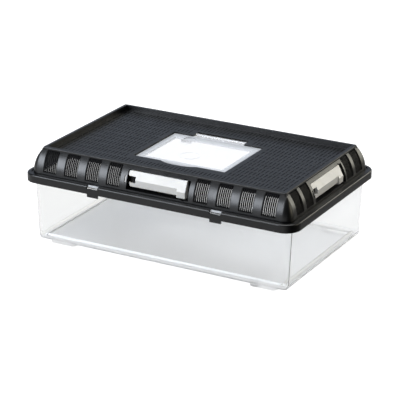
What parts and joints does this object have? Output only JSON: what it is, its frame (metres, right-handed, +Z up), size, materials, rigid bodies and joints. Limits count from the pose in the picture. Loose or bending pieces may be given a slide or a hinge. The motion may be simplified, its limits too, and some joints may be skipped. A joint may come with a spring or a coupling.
{
  "type": "plastic pet keeper",
  "caption": "Clear plastic pet tub under a black domed lid with vent slots, a slotted deck, a clear hinged trap door and cream swing latches.",
  "frame": {"origin": "centre of the keeper's footprint, on the surface that its foot pads stand on", "axes": "+Z up, +X along the long side, -Y the front long side that the picture shows"},
  "size_m": [0.42, 0.268, 0.1392],
  "materials": {
    "clear_tub": "clear, polished moulding",
    "black_lid": "charcoal black, satin moulding",
    "clear_door": "clear, polished moulding",
    "cream_latch": "cream, satin moulding",
    "steel_pin": "drawn wire"
  },
  "bodies": {
    "tub": {"tub": "clear_tub"},
    "lid": {"lid": "black_lid", "trap_door_pin": "steel_pin"},
    "trap_door": {"trap_door": "clear_door"},
    "latch_front": {"latch_front": "cream_latch", "latch_pin_front": "steel_pin"},
    "latch_right": {"latch_right": "cream_latch", "latch_pin_right": "steel_pin"},
    "latch_back": {"latch_back": "cream_latch", "latch_pin_back": "steel_pin"},
    "latch_left": {"latch_left": "cream_latch", "latch_pin_left": "steel_pin"}
  },
  "joints": [
    {"name": "lid_lift", "type": "slide", "parent": "tub", "child": "lid", "axis": [0, 0, 1], "range_m": [0, 0.08]},
    {"name": "trap_door_hinge", "type": "hinge", "parent": "lid", "child": "trap_door", "pos_m": [0, 0.0625, 0.129], "axis": [-1, 0, 0], "range_deg": [0, 110]},
    {"name": "latch_front_hinge", "type": "hinge", "parent": "lid", "child": "latch_front", "pos_m": [-0.04, -0.1154, 0.119], "axis": [0, 0, -1], "range_deg": [0, 90]},
    {"name": "latch_right_hinge", "type": "hinge", "parent": "lid", "child": "latch_right", "pos_m": [0.1914, -0.04, 0.119], "axis": [0, 0, -1], "range_deg": [0, 90]},
    {"name": "latch_back_hinge", "type": "hinge", "parent": "lid", "child": "latch_back", "pos_m": [0.04, 0.1154, 0.119], "axis": [0, 0, -1], "range_deg": [0, 90]},
    {"name": "latch_left_hinge", "type": "hinge", "parent": "lid", "child": "latch_left", "pos_m": [-0.1914, 0.04, 0.119], "axis": [0, 0, -1], "range_deg": [0, 90]}
  ]
}
